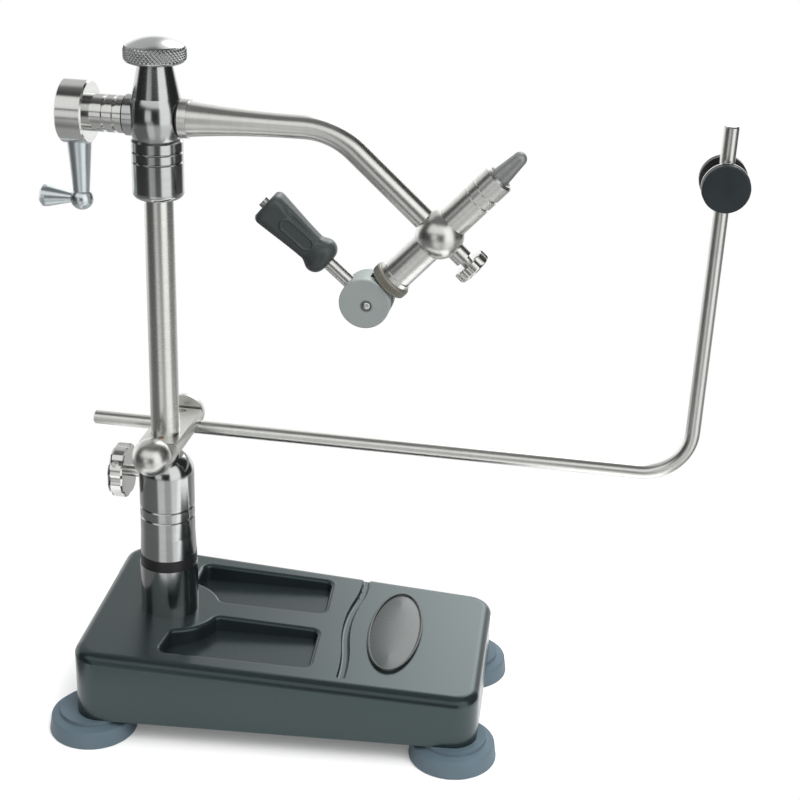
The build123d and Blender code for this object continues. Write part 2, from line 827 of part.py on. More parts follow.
# Swan-neck arm with its ball
arm_corner = ball_x - ball_drop / math.tan(math.radians(arm_angle))
with BuildPart() as swan_neck_arm:
    with BuildSketch(spindle_side):
        with BuildLine():
            Polyline(
                (arm_flare_end, arm_r),
                (arm_flare_end, 0),
                (front_end, 0),
                (front_end, arm_root_r),
                (arm_flare_start, arm_root_r),
                (arm_flare_start, arm_flare_r),
            )
            TangentArc((arm_flare_end, arm_r), (arm_flare_start, arm_flare_r), tangent=(-1, 0))
        make_face()
    revolve(axis=spindle_axis)
    with BuildLine(spindle_side) as neck_route:
        FilletPolyline(
            (arm_flare_end, 0),
            (arm_corner, 0),
            (ball_x, -ball_drop),
            radius=arm_bend,
        )
    with BuildSketch(spindle_face.offset(arm_flare_end)):
        Circle(arm_r)
    sweep(path=neck_route.line)
    with BuildSketch(head_side):
        with BuildLine():
            Line((-ball_r, 0), (ball_r, 0))
            CenterArc((0, 0), ball_r, 0, 180)
        make_face()
    revolve(axis=head_axis)
    with BuildSketch(jaw_lock_face):
        Circle(jaw_boss_r)
    extrude(amount=ball_r + jaw_boss)
    with BuildSketch(head_face.offset(-overrun)):
        Circle(tube_r + slip)
    extrude(amount=overrun * 2, mode=Mode.SUBTRACT)
    with BuildSketch(jaw_lock_face):
        Circle(jaw_screw_r + slip)
    extrude(amount=overrun, mode=Mode.SUBTRACT)
    with BuildSketch(spindle_face):
        Circle(spindle_r + seat)
    extrude(amount=spindle_front + seat, mode=Mode.SUBTRACT)
write(swan_neck_arm, "swan_neck_arm")

# Head tube with its nose, flange and thread
with BuildPart() as jaw_tube:
    with BuildSketch(head_side):
        thread_end = ring_front - tube_thread
        with BuildLine():
            Polyline(
                (thread_end, tube_shoulder_r),
                (thread_end, tube_thread_r),
                (ring_front, tube_thread_r),
                (ring_front, tube_flange_r),
                (-tube_back, tube_flange_r),
                (-tube_back, tube_r),
                (tube_front - tube_front_edge, tube_r),
                (tube_front, tube_r - tube_front_edge),
                (tube_front, tube_mouth_r),
                (tube_front - tube_mouth, tube_bore_r),
                (-tube_back + tube_shoulder, tube_bore_r),
                (-tube_back + tube_shoulder, tube_shoulder_r),
                close=True,
            )
        make_face()
        for place in tube_line_places:
            with Locations((tube_front - place, tube_r)):
                Rectangle(tube_line_half * 2, tube_line_depth * 2, mode=Mode.SUBTRACT)
    revolve(axis=head_axis)
write(jaw_tube, "jaw_tube")

# Jaw lock screw, shoe and knob
jaw_tip = tube_r + slip + jaw_shoe
jaw_knob_near = ball_r + jaw_knob_gap
with BuildPart() as jaw_lock_shoe:
    with BuildSketch(jaw_lock_face):
        Circle(jaw_screw_r)
    extrude(amount=jaw_tip)
    with BuildSketch(head_face.offset(-overrun)):
        Circle(tube_r + slip)
    extrude(amount=overrun * 2, mode=Mode.SUBTRACT)
write(jaw_lock_shoe, "jaw_lock_shoe")
write(tube(jaw_lock_face, jaw_tip, jaw_knob_near + jaw_knob_socket, jaw_screw_r), "jaw_lock_screw")
jaw_blank = thumb_knob(
    jaw_lock_face.offset(jaw_knob_near),
    jaw_knob,
    jaw_knob_r,
    jaw_knob_lobes,
    jaw_knob_cut_r,
    jaw_knob_cut_depth,
    jaw_edge,
    jaw_round,
)
with BuildPart() as jaw_lock_knob:
    add(jaw_blank.part)
    with BuildSketch(jaw_lock_face.offset(jaw_knob_near)):
        Circle(jaw_screw_r + seat)
    extrude(amount=jaw_knob_socket + seat, mode=Mode.SUBTRACT)
write(jaw_lock_knob, "jaw_lock_knob")

# Collet jaws: a split nose drawn back into the tube's taper
wedge_slope = tube_mouth / (tube_mouth_r - tube_bore_r)
wedge_foot = tube_front - (tube_mouth_r - collet_wedge_play - collet_r) * wedge_slope
with BuildPart() as collet_jaws:
    with BuildSketch(head_side):
        with BuildLine():
            Polyline(
                (collet_tip - collet_tip_r, collet_tip_r),
                (tube_front, collet_nose_r),
                (tube_front, tube_mouth_r - collet_wedge_play),
                (wedge_foot, collet_r),
                (collet_tail, collet_r),
                (collet_tail, draw_peg_r + seat),
                (collet_tail + draw_peg + seat, draw_peg_r + seat),
                (collet_tail + draw_peg + seat, 0),
                (collet_tip, 0),
            )
            CenterArc((collet_tip - collet_tip_r, 0), collet_tip_r, 0, 90)
        make_face()
    revolve(axis=head_axis)
    with BuildSketch(head_face.offset(collet_tip - collet_slit_depth)):
        Rectangle(collet_slit, overrun)
    extrude(amount=overrun * 2, mode=Mode.SUBTRACT)
write(collet_jaws, "collet_jaws")

# Draw rod from the collet back to the cam pin
with BuildPart() as draw_rod:
    with BuildSketch(head_face.offset(cam_pivot)):
        Circle(draw_rod_r)
    extrude(amount=collet_tail - cam_pivot)
    with BuildSketch(head_face.offset(collet_tail)):
        Circle(draw_peg_r)
    extrude(amount=draw_peg)
    with BuildSketch(cam_side.offset(-draw_rod_r)):
        Circle(draw_eye_r)
    extrude(amount=draw_rod_r * 2)
    with BuildSketch(cam_side.offset(-overrun)):
        Circle(cam_pin_r + seat)
    extrude(amount=overrun * 2, mode=Mode.SUBTRACT)
write(draw_rod, "draw_rod")

# Return spring round the draw rod, wound in quarter turns
spring_back = -tube_back + tube_shoulder + spring_wire_r
spring_front = collet_tail - spring_wire_r
spring_pitch = (spring_front - spring_back) / spring_turns


def coil_point(turns):
    """A point of the spring's wire after this many turns."""
    angle = 2 * math.pi * turns
    return head_face.from_local_coords(
        (spring_r * math.cos(angle), spring_r * math.sin(angle), spring_back + spring_pitch * turns)
    )


with BuildPart() as return_spring:
    with BuildLine() as coil_route:
        for quarter in range(spring_turns * 4):
            ThreePointArc(
                coil_point(quarter / 4),
                coil_point((quarter + 0.5) / 4),
                coil_point((quarter + 1) / 4),
            )
    with BuildSketch(Plane(origin=coil_route.line @ 0, z_dir=coil_route.line % 0)):
        Circle(spring_wire_r)
    sweep(path=coil_route.line)
write(return_spring, "return_spring")
print("return spring, gap between turns:", round(spring_pitch - 2 * spring_wire_r, 3))

# Adjusting ring on the tube's thread
with BuildPart() as adjusting_ring:
    with BuildSketch(head_face.offset(ring_back)):
        Circle(ring_r)
    extrude(amount=ring_thick)
    fillet(adjusting_ring.edges().filter_by(GeomType.CIRCLE), ring_round)
    with BuildSketch(head_face.offset(ring_back)):
        Circle(tube_thread_r + slip)
    extrude(amount=ring_thick, mode=Mode.SUBTRACT)
write(adjusting_ring, "adjusting_ring")

# Cam disc, eccentric towards its lever and slotted for the draw rod
lever_root = cam_offset + cam_r - lever_socket
slot_reach = (cam_offset + cam_r) * 2
slot_middle = -lever_rest - lever_swing / 2
rod_spread = math.degrees(math.asin((draw_rod_r + free) / (draw_eye_r + free)))
slot_spread = lever_swing / 2 + rod_spread
with BuildPart() as cam_disc:
    with BuildSketch(cam_side.offset(-cam_half)):
        with Locations((cam_offset, 0)):
            Circle(cam_r)
    extrude(amount=cam_half * 2)
    chamfer(cam_disc.edges().filter_by(GeomType.CIRCLE), cam_edge)
    with BuildSketch(cam_side.offset(-draw_rod_r - free)):
        Circle(draw_eye_r + free)
        with BuildLine():
            slot_start = PolarLine((0, 0), slot_reach, slot_middle - slot_spread)
            slot_bottom = PolarLine((0, 0), slot_reach * 2, slot_middle, mode=Mode.PRIVATE)
            slot_end = PolarLine((0, 0), slot_reach, slot_middle + slot_spread)
            Polyline(slot_start @ 1, slot_bottom @ 1, slot_end @ 1)
        make_face()
    extrude(amount=(draw_rod_r + free) * 2, mode=Mode.SUBTRACT)
    with BuildSketch(cam_side.offset(-overrun)):
        Circle(cam_pin_r + slip)
    extrude(amount=overrun * 2, mode=Mode.SUBTRACT)
    with BuildSketch(lever_face.offset(lever_root - seat)):
        Circle(lever_rod_r + seat)
    extrude(amount=overrun, mode=Mode.SUBTRACT)
write(cam_disc, "cam_disc")
write(tube(cam_side, -cam_half - cam_edge, cam_half + cam_edge, cam_pin_r), "cam_pin")
write(tube(lever_face, lever_root, lever_rod_end, lever_rod_r), "lever_rod")

# Moulded grip: a collar, a neck and a swelling body, with a plain raised oval on its face
grip_sections = (
    (grip_near, grip_collar_half * grip_near_share),
    (grip_near + grip_collar, grip_collar_half),
    (grip_near + grip_neck, grip_neck_half),
    (grip_near + grip_waist, grip_waist_half),
    (grip_near + grip_swell, grip_swell_half),
    (grip_far, grip_swell_half * grip_far_share),
)
with BuildPart() as lever_grip:
    for distance, half in grip_sections:
        with BuildSketch(lever_face.offset(distance)):
            RectangleRounded(half * 2 * grip_flat_share, half * 2, half * grip_corner_share)
    loft()
    frame_root = lever_rod_r + grip_frame_line
    with BuildSketch(cam_side.offset(frame_root)):
        with Locations((grip_near + grip_frame_place, 0)):
            SlotOverall(grip_frame_long, grip_frame_wide)
            SlotOverall(
                grip_frame_long - grip_frame_line * 2,
                grip_frame_wide - grip_frame_line * 2,
                mode=Mode.SUBTRACT,
            )
    extrude(amount=grip_swell_half * grip_flat_share + grip_frame_rise - frame_root)
    with BuildSketch(lever_face):
        Circle(lever_rod_r + seat)
    extrude(amount=lever_rod_end + seat, mode=Mode.SUBTRACT)
write(lever_grip, "lever_grip")
write(tube(lever_face, grip_far, grip_far + grip_screw, grip_screw_r), "grip_screw")

# Cradle clamp: a round bar across the stem with a flat on top and a domed rear end
rod_face = Plane(origin=(stem_x, stem_y + rod_y, rod_z), x_dir=(0, 1, 0), z_dir=(1, 0, 0))
rod_screw_plane = Plane(origin=(stem_x, stem_y + rod_y, 0))
flat_z = clamp_z + clamp_flat
with BuildPart() as clamp_block:
    with BuildSketch(clamp_face.offset(-clamp_front)):
        Circle(clamp_r)
    extrude(amount=clamp_front + clamp_rear)
    with Locations((stem_x, stem_y + clamp_rear, clamp_z)):
        Sphere(clamp_r)
    with BuildSketch(upright.offset(flat_z)):
        with Locations((0, clamp_flat_end - (clamp_flat_end + clamp_front) / 2)):
            Rectangle(clamp_r * 2, clamp_flat_end + clamp_front)
    extrude(amount=clamp_r, mode=Mode.SUBTRACT)
    with BuildSketch(upright.offset(flat_z - clamp_step)):
        with Locations((0, clamp_flat_end - clamp_step / 2)):
            Rectangle(clamp_r * 2, clamp_step)
    extrude(amount=clamp_r, mode=Mode.SUBTRACT)
    with BuildSketch(upright.offset(column_top + free)):
        Circle(column_r + clamp_relief)
    extrude(amount=-clamp_r, mode=Mode.SUBTRACT)
    with BuildSketch(upright.offset(column_top)):
        Circle(stem_r + slip)
    extrude(amount=overrun, mode=Mode.SUBTRACT)
    with BuildSketch(rod_face.offset(-overrun)):
        Circle(rod_r + slip)
    extrude(amount=overrun * 2, mode=Mode.SUBTRACT)
    with BuildSketch(rod_screw_plane.offset(rod_z)):
        Circle(rod_screw_r + seat)
    extrude(amount=overrun, mode=Mode.SUBTRACT)
    with BuildSketch(clamp_face.offset(-overrun)):
        Circle(clamp_screw_r + slip)
    extrude(amount=overrun, mode=Mode.SUBTRACT)
write(clamp_block, "clamp_block")
write(tube(rod_screw_plane, rod_z + rod_r + slip, flat_z - rod_screw_sunk, rod_screw_r), "rod_set_screw")

clamp_ball_place = -clamp_front - free - clamp_ball_r
clamp_screw_front = clamp_ball_place + clamp_ball_r - clamp_ball_socket
clamp_shoe_front = -stem_r - slip - clamp_shoe
write(tube(clamp_face, clamp_shoe_front, -stem_r - slip, clamp_screw_r), "clamp_shoe")
write(tube(clamp_face, clamp_screw_front, clamp_shoe_front, clamp_screw_r), "clamp_screw")
with BuildPart() as clamp_ball_knob:
    with Locations(clamp_face.offset(clamp_ball_place).origin):
        Sphere(clamp_ball_r)
    with BuildSketch(clamp_face.offset(clamp_screw_front - seat)):
        Circle(clamp_screw_r + seat)
    extrude(amount=overrun, mode=Mode.SUBTRACT)
write(clamp_ball_knob, "clamp_ball_knob")

# Cradle rod, bent square
with BuildPart() as cradle_rod:
    with BuildLine(rod_plane) as rod_route:
        FilletPolyline(
            (-rod_tail, rod_z),
            (rod_corner_x, rod_z),
            (rod_top_x, rod_top),
            radius=rod_bend,
        )
    with BuildSketch(rod_face.offset(-rod_tail)):
        Circle(rod_r)
    sweep(path=rod_route.line)
    rod_ends = cradle_rod.faces().filter_by(GeomType.PLANE)
    chamfer(rod_ends.edges(), rod_chamfer)
write(cradle_rod, "cradle_rod")

# Bobbin rest: a cross-bored hub between two bright rims and two rubber discs
with BuildPart() as spool_hub:
    with BuildSketch(spool_face.offset(-spool_half)):
        Circle(spool_hub_r)
    extrude(amount=spool_half * 2)
    with BuildSketch(Plane(origin=spool_at, x_dir=(0, 1, 0), z_dir=lean_dir).offset(-overrun)):
        Circle(rod_r + slip)
    extrude(amount=overrun * 2, mode=Mode.SUBTRACT)
write(spool_hub, "spool_hub")
write(tube(spool_face, -rim_end, -spool_half, spool_rim_r), "spool_rim_front")
write(tube(spool_face, spool_half, rim_end, spool_rim_r), "spool_rim_rear")
for disc_name, disc_start in (("front", -rim_end - spool_disc), ("rear", rim_end)):
    with BuildPart() as spool_rubber:
        with BuildSketch(spool_face.offset(disc_start)):
            Circle(spool_disc_r)
        extrude(amount=spool_disc)
        fillet(spool_rubber.edges().filter_by(GeomType.CIRCLE), spool_disc_round)
    write(spool_rubber, f"spool_disc_{disc_name}")
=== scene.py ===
"""A pedestal fly tying vise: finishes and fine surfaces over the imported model, in metres."""

import json
import math

import bpy
import numpy as np
from mathutils import Matrix, Vector


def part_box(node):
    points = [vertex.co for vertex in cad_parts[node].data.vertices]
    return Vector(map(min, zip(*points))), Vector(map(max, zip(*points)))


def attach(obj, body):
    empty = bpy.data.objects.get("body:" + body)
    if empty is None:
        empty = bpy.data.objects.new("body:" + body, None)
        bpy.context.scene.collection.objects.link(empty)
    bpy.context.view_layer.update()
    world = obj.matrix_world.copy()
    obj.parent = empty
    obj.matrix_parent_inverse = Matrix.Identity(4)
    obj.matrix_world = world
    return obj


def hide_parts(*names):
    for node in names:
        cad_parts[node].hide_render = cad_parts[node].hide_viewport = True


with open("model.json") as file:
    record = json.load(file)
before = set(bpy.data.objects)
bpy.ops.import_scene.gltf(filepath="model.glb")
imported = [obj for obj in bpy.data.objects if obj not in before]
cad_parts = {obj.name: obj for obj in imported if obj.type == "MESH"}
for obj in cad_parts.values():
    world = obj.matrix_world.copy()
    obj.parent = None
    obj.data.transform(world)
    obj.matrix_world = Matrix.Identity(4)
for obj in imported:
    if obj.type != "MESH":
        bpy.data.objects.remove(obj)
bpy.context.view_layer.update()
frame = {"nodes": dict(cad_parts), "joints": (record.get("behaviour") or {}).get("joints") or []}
nodes = frame["nodes"]

MM = 0.001
FULL_TURN = 2 * math.pi
DEGREES_PER_RADIAN = 180 / math.pi
UP = np.array([0.0, 0.0, 1.0])
SPINDLE = np.array([1.0, 0.0, 0.0])
ACROSS = np.array([0.0, 1.0, 0.0])

# Where the main axes run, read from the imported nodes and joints
stem_low, stem_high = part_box("stem")
STEM_X = (stem_low.x + stem_high.x) / 2
STEM_Y = (stem_low.y + stem_high.y) / 2
STEM_FOOT = np.array([STEM_X, STEM_Y, 0.0])
joints = {joint["name"]: joint for joint in frame["joints"]}
HEAD_DIR = np.array(joints["jaw_head_slide"]["axis"])
BALL_AT = np.array(joints["jaw_lock_turn"]["pos_m"])
CAM_AT = np.array(joints["lever_swing"]["pos_m"])
SPINDLE_AT = np.array(joints["rotor_turn"]["pos_m"])

# Camera, fitted to the photograph: its place from the stem's foot, its turns and its lens
CAMERA_FROM_STEM = (162.693 * MM, -497.773 * MM, 340.045 * MM)
CAMERA_YAW = math.radians(9.0663)
CAMERA_PITCH = math.radians(23.1691)
CAMERA_ROLL = math.radians(-1.9374)
CAMERA_CLIP = 0.01
FOCAL_PIXELS = 1613.128
FRAME_PIXELS = 800
SENSOR_MM = 36.0

# Floor and lamps: the floor's corners, its glow and colour, the light from all round, the lamps' power, and
# each lamp's place, target and size
FLOOR_LOW = (-0.135, -0.09)
FLOOR_HIGH = (0.135, 0.075)
FLOOR_GLOW = 0.14
FLOOR_COLOUR = (0.82, 0.82, 0.82, 1.0)
WHITE = (1.0, 1.0, 1.0, 1.0)
AMBIENT = 0.58
LAMP_POWER = 11.0
KEY_LAMP = ((0.5, -0.5, 0.9), (0.0, 0.0, 0.1), 0.7)
TOP_LAMP = ((0.1, 0.3, 1.1), (0.0, 0.0, 0.0), 0.9)

# What metal reflects above the haze. Turns go round from the front to the right, and rises go up, both in
# degrees. A panel has its turns and its rises, each as low, high and soft edge, and its glow.
PANELS = [
    ((34.0, 72.0, 6.0), (-70.0, 44.0, 8.0), 1.35),
    ((-52.0, 30.0, 8.0), (19.0, 54.0, 5.0), 1.0),
    ((-26.0, -6.0, 4.0), (-9.0, 9.0, 4.0), 0.9),
    ((-19.0, 2.0, 5.0), (-40.0, -13.0, 4.0), 0.4),
]
BACKDROP_RIGHT, BACKDROP_LEFT, BACKDROP_TOP = (140.0, 160.0), (-104.0, -86.0), (56.0, 70.0)
BACKDROP_GLOW = 1.25
SHADE_START, SHADE_END, SHADE_RISE = (-180.0, -162.0), (-95.0, -85.0), (12.0, 24.0)
SHADE_DEPTH = 0.45
SOFTBOX_RIGHT, SOFTBOX_LEFT, SOFTBOX_RISES = (150.0, 166.0), (-180.0, -168.0), (20.0, 46.0, 6.0)
SOFTBOX_GLOW = 2.6
OVERHEAD_RISE, OVERHEAD_GLOW = (60.0, 75.0), 0.14
DARK_GLOW = 0.03
MOST_GLOW = 1.4

# What metal reflects below the haze: panels as turns and glow, the far sides, the low sides and the floor
LOW_PANELS = [((-19.0, 3.0, 6.0), 0.7), ((8.0, 30.0, 6.0), 0.38), ((38.0, 78.0, 8.0), 0.85)]
LOW_GLOW = 0.19
FAR_RIGHT, FAR_RIGHT_GLOW = (118.0, 160.0), 0.36
FAR_LEFT, FAR_LEFT_GLOW = (-125.0, -88.0), 0.28
LOW_RIGHT, LOW_RIGHT_GLOW = (70.0, 86.0), 0.34
LOW_LEFT, LOW_LEFT_GLOW = (-100.0, -60.0), 0.2
LOW_SIDE_RISES = (-22.0, -15.0, 2.0)
FLOOR_RISE, FLOOR_SEEN = (-56.0, -40.0), 0.42
HAZE_RISE = (-20.0, -16.0)

# Finishes: the tint of the paint's sheen, and the heights of the fine reliefs in metres
SHEEN = (0.76, 1.0, 1.0, 1.0)
TURNED_RELIEF = 0.0000008
FACED_RELIEF = 0.000001
BLASTED_RELIEF = 0.000012
GRAIN_RELIEF = 0.000015

# Places of a Mix node's colour sockets
MIX_FIRST, MIX_SECOND, MIX_OUT = 6, 7, 2


class Wire:
    """A shader socket that Python arithmetic can be done on: each operation adds a Math node."""

    def __init__(self, maker, socket):
        self.maker = maker
        self.socket = socket

    def other(self, key):
        """Another output of the same node."""
        return Wire(self.maker, self.socket.node.outputs[key])

    def math(self, operation, *others):
        return self.maker.node("ShaderNodeMath", {"operation": operation}, [self, *others])

    def swapped(self, operation, other):
        return self.maker.node("ShaderNodeMath", {"operation": operation}, [other, self])

    def __add__(self, other):
        return self.math("ADD", other)

    def __radd__(self, other):
        return self.swapped("ADD", other)

    def __sub__(self, other):
        return self.math("SUBTRACT", other)

    def __rsub__(self, other):
        return self.swapped("SUBTRACT", other)

    def __mul__(self, other):
        return self.math("MULTIPLY", other)

    def __rmul__(self, other):
        return self.swapped("MULTIPLY", other)

    def step(self, low, high):
        """A smooth step from 0 at low to 1 at high."""
        settings = {"interpolation_type": "SMOOTHSTEP"}
        inputs = {"Value": self, "From Min": low, "From Max": high}
        return self.maker.node("ShaderNodeMapRange", settings, inputs)

    def band(self, low, high, soft):
        """1 between low and high, falling to 0 over the soft width outside them."""
        return self.step(low - soft, low) * (1 - self.step(high, high + soft))


class Maker:
    """Adds nodes to one node tree."""

    def __init__(self, tree):
        self.tree = tree
        tree.nodes.clear()

    def node(self, kind, settings=None, inputs=(), out=0):
        """A node of this type with its settings, then its sockets' values or links; returns one output."""
        made = self.tree.nodes.new(kind)
        for key, value in (settings or {}).items():
            setattr(made, key, value)
        pairs = inputs.items() if isinstance(inputs, dict) else enumerate(inputs)
        for key, value in pairs:
            if isinstance(value, Wire):
                self.tree.links.new(value.socket, made.inputs[key])
            else:
                made.inputs[key].default_value = value
        return Wire(self, made.outputs[out]) if made.outputs else None

    def vector(self, operation, first, second=None, out="Vector"):
        """A Vector Math node on one or two vectors."""
        inputs = [first] if second is None else [first, tuple(second)]
        return self.node("ShaderNodeVectorMath", {"operation": operation}, inputs, out)

    def place(self):
        """The surface's place in the object's own frame, in metres."""
        return self.node("ShaderNodeTexCoord", out="Object")

    def from_point(self, origin):
        """The surface's place from a point, in metres."""
        return self.vector("SUBTRACT", self.place(), origin)

    def along(self, axis, origin=(0.0, 0.0, 0.0)):
        """The distance along an axis from a point, in metres."""
        return self.vector("DOT_PRODUCT", self.from_point(origin), axis, out="Value")

    def from_axis(self, axis, origin):
        """The distance from a line through a point along a unit axis, in metres."""
        cross = self.vector("CROSS_PRODUCT", self.from_point(origin), axis)
        return self.vector("LENGTH", cross, out="Value")

    def noise(self, scale, detail, roughness=0.5):
        """Soft noise over the surface, from 0 to 1."""
        inputs = {"Vector": self.place(), "Scale": scale, "Detail": detail, "Roughness": roughness}
        return self.node("ShaderNodeTexNoise", None, inputs)

    def lines(self, distance, per_metre, detail=3.0):
        """Noise that changes along one distance only, so it makes rings round a turned piece."""
        inputs = {"W": distance * per_metre, "Scale": 1.0, "Detail": detail, "Roughness": 0.6}
        return self.node("ShaderNodeTexNoise", {"noise_dimensions": "1D"}, inputs)

    def mix(self, factor, first, second):
        """A colour between two colours."""
        inputs = {"Factor": factor, MIX_FIRST: first, MIX_SECOND: second}
        return self.node("ShaderNodeMix", {"data_type": "RGBA"}, inputs, MIX_OUT)

    def bump(self, height, distance):
        """A normal from a height, with the distance in metres."""
        return self.node("ShaderNodeBump", None, {"Height": height, "Distance": distance, "Strength": 1.0})


def rgb(red, green, blue):
    """A linear colour, with alpha, from display values of 0 to 255 by the sRGB curve."""
    shares = np.array([red, green, blue]) / 255.0
    linear = np.where(shares <= 0.04045, shares / 12.92, ((shares + 0.055) / 1.055) ** 2.4)
    return (*(float(v) for v in linear), 1.0)


def finish(name, dress, **constants):
    """A material: constants on its Principled shader, and what dress() returns on its linked sockets."""
    material = bpy.data.materials.new(name)
    material.use_nodes = True
    maker = Maker(material.node_tree)
    inputs = {key.replace("_", " "): value for key, value in constants.items()}
    inputs.update(dress(maker))
    shader = maker.node("ShaderNodeBsdfPrincipled", None, inputs)
    maker.node("ShaderNodeOutputMaterial", None, {"Surface": shader})
    return material


def turned_metal(name, colour, tint, roughness, axis, metal=1.0):
    """Metal turned on a lathe: rings round its axis in colour, gloss and relief, with faint marks."""
    ring_share, mark_share = 0.4, 0.6
    least_share, ring_rough, mark_rough = 0.84, 0.12, 0.2

    def dress(maker):
        rings = maker.lines(maker.along(axis), per_metre=500.0, detail=1.0)
        marks = maker.noise(scale=70.0, detail=3.0)
        return {
            "Base Color": maker.mix(rings * ring_share + marks * mark_share, colour, tint),
            "Roughness": roughness * (least_share + rings * ring_rough + marks * mark_rough),
            "Normal": maker.bump(rings, TURNED_RELIEF),
        }

    return finish(name, dress, Metallic=metal)


def faced_metal(name, colour, tint, roughness, axis, origin):
    """Metal faced on a lathe: rings round its axis on its sides and round its centre on its ends."""
    ring_share, mark_share = 0.6, 0.4
    least_share, ring_rough, mark_rough = 0.75, 0.35, 0.15

    def dress(maker):
        distance = maker.along(axis, origin) + maker.from_axis(axis, origin)
        rings = maker.lines(distance, per_metre=1400.0)
        marks = maker.noise(scale=80.0, detail=4.0)
        return {
            "Base Color": maker.mix(rings * ring_share + marks * mark_share, colour, tint),
            "Roughness": roughness * (least_share + rings * ring_rough + marks * mark_rough),
            "Normal": maker.bump(rings, FACED_RELIEF),
        }

    return finish(name, dress, Metallic=1.0)


def slate_paint():
    """Semi-gloss slate paint over a casting: fine orange peel, faint cloudiness and dust-fine speckle."""
    dark, pale = rgb(20, 25, 26), rgb(32, 39, 40)
    main_share, speckle_share = 0.6, 0.4
    least_rough, cloud_rough, speckle_rough = 0.17, 0.05, 0.1

    def dress(maker):
        cloud = maker.noise(scale=22.0, detail=3.0)
        speckle = maker.noise(scale=2600.0, detail=2.0)
        peel = maker.noise(scale=900.0, detail=2.0)
        return {
            "Base Color": maker.mix(cloud * main_share + speckle * speckle_share, dark, pale),
            "Roughness": least_rough + cloud * cloud_rough + speckle * speckle_rough,
            "Normal": maker.bump(peel * main_share + speckle * speckle_share, BLASTED_RELIEF),
        }

    return finish("slate_paint", dress, IOR=1.57, Specular_Tint=SHEEN)


def soft_rubber(name, colour, pale, roughness):
    """Matte rubber with a fine grain and a faint bloom."""
    bloom_rough = 0.2

    def dress(maker):
        grain = maker.noise(scale=2500.0, detail=2.0)
        bloom = maker.noise(scale=110.0, detail=5.0, roughness=0.6)
        return {
            "Base Color": maker.mix(bloom, colour, pale),
            "Roughness": roughness + bloom * bloom_rough,
            "Normal": maker.bump(grain, GRAIN_RELIEF),
        }

    return finish(name, dress, IOR=1.5)


def moulded_plastic():
    """Charcoal plastic with a fine spark-eroded texture."""
    dark, pale = rgb(47, 52, 53), rgb(58, 63, 64)
    least_rough, grain_rough = 0.3, 0.1

    def dress(maker):
        grain = maker.noise(scale=3000.0, detail=2.0)
        cloud = maker.noise(scale=60.0, detail=3.0)
        return {
            "Base Color": maker.mix(cloud, dark, pale),
            "Roughness": least_rough + grain * grain_rough,
            "Normal": maker.bump(grain, GRAIN_RELIEF),
        }

    return finish("charcoal_plastic", dress, IOR=1.42)


def cam_grey():
    """Blasted grey steel, with painted shade: darker in a ring round the pin, where the pin meets the cam.
    """
    dark, middle, pale = rgb(52, 54, 54), rgb(143, 151, 150), rgb(153, 160, 158)
    pin_shade_from, pin_shade_to, pin_shade_share = 1.7 * MM, 2.3 * MM, 0.75
    least_rough, blast_rough = 0.42, 0.18

    def dress(maker):
        blast = maker.noise(scale=2800.0, detail=3.0)
        cloud = maker.noise(scale=150.0, detail=4.0)
        # Painted shade: the cam's colour is darkened close round the pin, where the pin meets it
        pin_shade = 1 - maker.from_axis(ACROSS, CAM_AT).step(pin_shade_from, pin_shade_to)
        unshaded_grey = maker.mix(cloud, middle, pale)
        return {
            "Base Color": maker.mix(pin_shade * pin_shade_share, unshaded_grey, dark),
            "Roughness": least_rough + blast * blast_rough,
            "Normal": maker.bump(blast, BLASTED_RELIEF),
        }

    return finish("cam_grey", dress, Metallic=0.25)


def plate_field():
    """The plate's blank field: dark satin lacquer with the faintest brushing."""
    dark, pale = rgb(36, 41, 41), rgb(52, 58, 58)
    brush_share, cloud_share = 0.6, 0.4
    least_rough, brush_rough = 0.22, 0.1

    def dress(maker):
        brushing = maker.lines(maker.along(ACROSS), per_metre=5200.0)
        cloud = maker.noise(scale=120.0, detail=3.0)
        return {
            "Base Color": maker.mix(brushing * brush_share + cloud * cloud_share, dark, pale),
            "Roughness": least_rough + brushing * brush_rough,
        }

    return finish("plate_field", dress, IOR=1.5)


def node_points(node):
    """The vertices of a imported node."""
    return np.array([vertex.co for vertex in nodes[node].data.vertices])


# The lever's direction, square to the cam's axis
LEVER_DIR = (node_points("lever_rod").mean(axis=0) - CAM_AT) * (1 - np.abs(ACROSS))
LEVER_DIR = LEVER_DIR / np.linalg.norm(LEVER_DIR)

